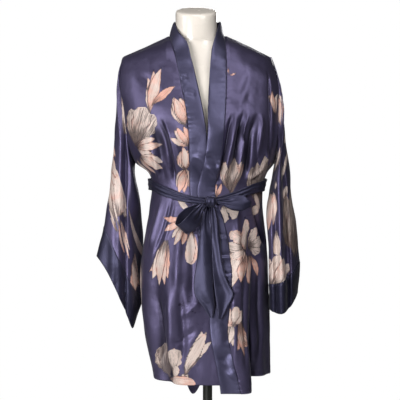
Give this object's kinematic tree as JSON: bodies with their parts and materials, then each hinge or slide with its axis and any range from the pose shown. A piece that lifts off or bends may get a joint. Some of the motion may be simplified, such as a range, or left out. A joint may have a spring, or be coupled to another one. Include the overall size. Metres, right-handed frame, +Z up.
{
  "type": "dressing gown on a limbless display form",
  "caption": "Short satin kimono-style dressing gown with wide cuffed sleeves, a plain neckband and a tied sash, on a limbless display form with a pole stand.",
  "frame": {"origin": "middle of the underside of the stand's round base plate", "axes": "+Z up, +X towards the wearer's left side, -Y towards the front opening of the gown"},
  "size_m": [0.5309, 0.3278, 1.2864],
  "materials": {
    "printed_satin": "satin",
    "plain_satin": "satin",
    "glossy_form": "gloss",
    "black_metal": "satin"
  },
  "bodies": {
    "root": {"back": "printed_satin", "front_right": "printed_satin", "front_left": "printed_satin", "sleeve_right": "printed_satin", "sleeve_left": "printed_satin", "cuff_right": "plain_satin", "cuff_left": "plain_satin", "neckband_right": "plain_satin", "neckband_left": "plain_satin", "belt": "plain_satin", "belt_knot": "plain_satin", "bow_loop_right": "plain_satin", "bow_loop_left": "plain_satin", "belt_tail_right": "plain_satin", "belt_tail_left": "plain_satin", "dress_form": "glossy_form", "stand_socket": "black_metal", "stand_pole": "black_metal", "stand_base": "black_metal"}
  },
  "joints": []
}
